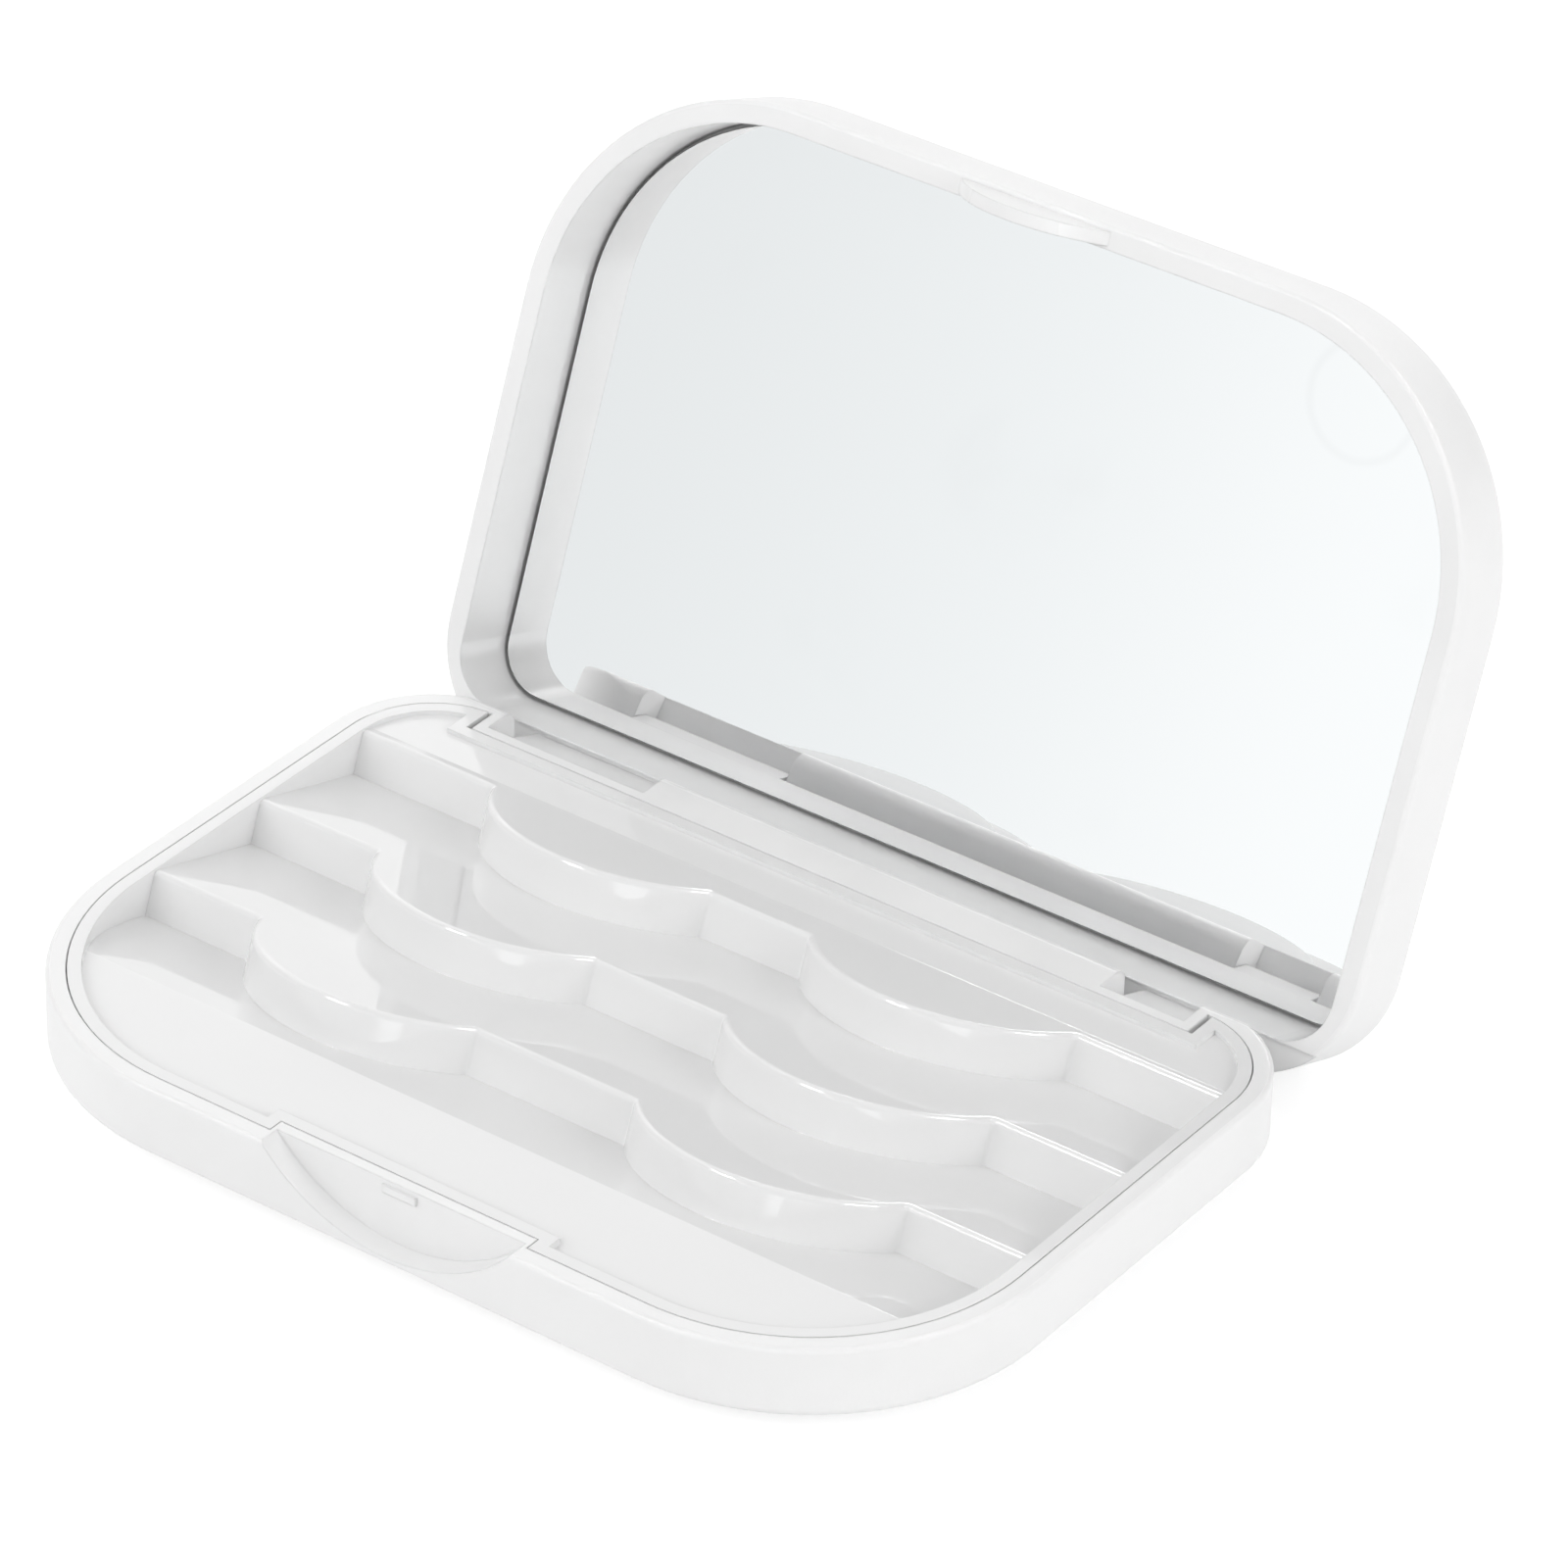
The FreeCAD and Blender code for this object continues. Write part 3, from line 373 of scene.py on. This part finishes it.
# %% [markdown]
# The mirror is a thin silvered plate with ground edges. Its face is nearly perfect metal with
# a faint haze from handling, its small chamfer is ground and sparkles, and its sides are dark:
# partly the plate's own dark edge, and partly painted shade that darkens the gap beside the plate.
# The direction of a face tells which of the three it is.
# Near the upper right corner a faint ring is left, as from the suction cup that placed the plate:
# the distance from one point rises through the ring's radius, and two steps make a thin band of it.

# %% Silvered mirror with ground edges
MIRROR_FACING = (0, -0.9361, 0.3518)
FRONT_EDGE = (0.9, 0.97)
CHAMFER_EDGE = (0.4, 0.55)
SILVER = (0.96, 0.96, 0.96, 1)
DULL_SILVER = (0.93, 0.93, 0.93, 1)
GROUND = (0.95, 0.95, 0.95, 1)
DARK_SIDE_AND_GAP_SHADE = (0.05, 0.05, 0.052, 1)
HAZE_PER_M = 38.0
HAZE_EDGE = (0.55, 0.8)
GRIT_PER_M = 4200.0
RING_MIDDLE = (0.0363, 0.0694, 0.0616)
RING_RADIUS_M = 0.006
RING_HALF_M = 0.0008
SILVER_ROUGH, HAZE_ROUGH, GROUND_ROUGH, GRIT_ROUGH = 0.01, 0.03, 0.2, 0.4
SIDE_METAL = 0.15

silvered = bpy.data.materials.new("silvered_plate")
graph = Graph(silvered)
place = graph.node("TexCoord")
facing = graph.dot(place["Normal"], MIRROR_FACING)
front = graph.step(facing, *FRONT_EDGE)
chamfer = graph.step(facing, *CHAMFER_EDGE)
haze = graph.noise(place["Object"], HAZE_PER_M, 6.0)
grit = graph.noise(place["Object"], GRIT_PER_M, 2.0)
smear = graph.step(haze, *HAZE_EDGE)
away = graph.node("VectorMath", {"operation": "DISTANCE"}, {0: place["Object"], 1: RING_MIDDLE})["Value"]
ring = (graph.step(away, RING_RADIUS_M - RING_HALF_M, RING_RADIUS_M)
        * graph.step(away, RING_RADIUS_M, RING_RADIUS_M + RING_HALF_M, 1.0, 0.0))
# The near-black of the sides is partly the plate's own dark edge and partly painted shade, which darkens the
# gap beside the plate.
edge = graph.blend(chamfer, DARK_SIDE_AND_GAP_SHADE, graph.blend(grit, DARK_SIDE_AND_GAP_SHADE, GROUND))
colour = graph.blend(front, edge, graph.blend(smear + ring, SILVER, DULL_SILVER))
rough = SILVER_ROUGH + HAZE_ROUGH * smear + (1 - front) * (GROUND_ROUGH + GRIT_ROUGH * grit)
metal = SIDE_METAL + (1 - SIDE_METAL) * chamfer
graph.principled({"Base Color": colour, "Roughness": rough, "Metallic": metal})
pieces["mirror"].data.materials[0] = silvered
print("Mirror nodes:", len(graph.tree.nodes))

# %% [markdown]
# Two strips of foam tape hold the mirror in the lid. They are hidden behind it, and show only when
# the pieces are taken apart. Foam is a field of tiny cells, which a Voronoi texture draws well.

# %% Foam tape behind the mirror
FOAM = (0.8, 0.8, 0.77, 1)
FOAM_PIT_SHADE = (0.62, 0.62, 0.59, 1)
FOAM_CLOUD_PER_M = 120.0
CELLS_PER_M = 3200
CELL_EDGE = (0.1, 0.5)
CELL_HEIGHT_M = 0.00006
FOAM_ROUGH, FOAM_CLOUD_ROUGH = 0.75, 0.2

foam = bpy.data.materials.new("foam_tape")
graph = Graph(foam)
place = graph.node("TexCoord")
cell = graph.node("TexVoronoi", None, {"Vector": place["Object"], "Scale": CELLS_PER_M})["Distance"]
cloud = graph.noise(place["Object"], FOAM_CLOUD_PER_M, 3.0)
# The colour darkens in the pits of the cells, where the bump is lowest: this is painted shade.
colour = graph.blend(graph.step(cell, *CELL_EDGE), FOAM_PIT_SHADE, FOAM)
bump = graph.node("Bump", None, {"Distance": CELL_HEIGHT_M, "Height": cell})["Normal"]
rough = FOAM_ROUGH + FOAM_CLOUD_ROUGH * cloud
graph.principled({"Base Color": colour, "Roughness": rough, "Normal": bump})
for side in ("left", "right"):
    pieces[f"mirror_tape_{side}"].data.materials[0] = foam
print("Tape nodes:", len(graph.tree.nodes))

# %% [markdown]
# The hinge turns on two short steel wires pressed into the base. Drawn wire has fine lines along
# its length, so the noise is stretched along the hinge axis.

# %% Drawn steel of the hinge pins
STEEL = (0.6, 0.6, 0.61, 1)
STEEL_DARK = (0.42, 0.42, 0.44, 1)
WIRE_STRETCH = (0.02, 1, 1)
LINES_PER_M = 6000.0
LINE_HEIGHT_M = 0.00001
STEEL_ROUGH, LINE_ROUGH = 0.22, 0.2

steel = bpy.data.materials.new("drawn_wire")
graph = Graph(steel)
place = graph.node("TexCoord")
along = graph.node("Mapping", None, {"Vector": place["Object"], "Scale": WIRE_STRETCH})["Vector"]
line = graph.noise(along, LINES_PER_M, 3.0)
colour = graph.blend(line, STEEL_DARK, STEEL)
bump = graph.node("Bump", None, {"Distance": LINE_HEIGHT_M, "Height": line})["Normal"]
rough = STEEL_ROUGH + LINE_ROUGH * line
graph.principled({"Base Color": colour, "Metallic": 1.0, "Roughness": rough, "Normal": bump})
for side in ("left", "right"):
    pieces[f"hinge_pin_{side}"].data.materials[0] = steel
print("Pin nodes:", len(graph.tree.nodes))

# %% [markdown] Only the finishes change, so the dressed case keeps the size of the CAD case.
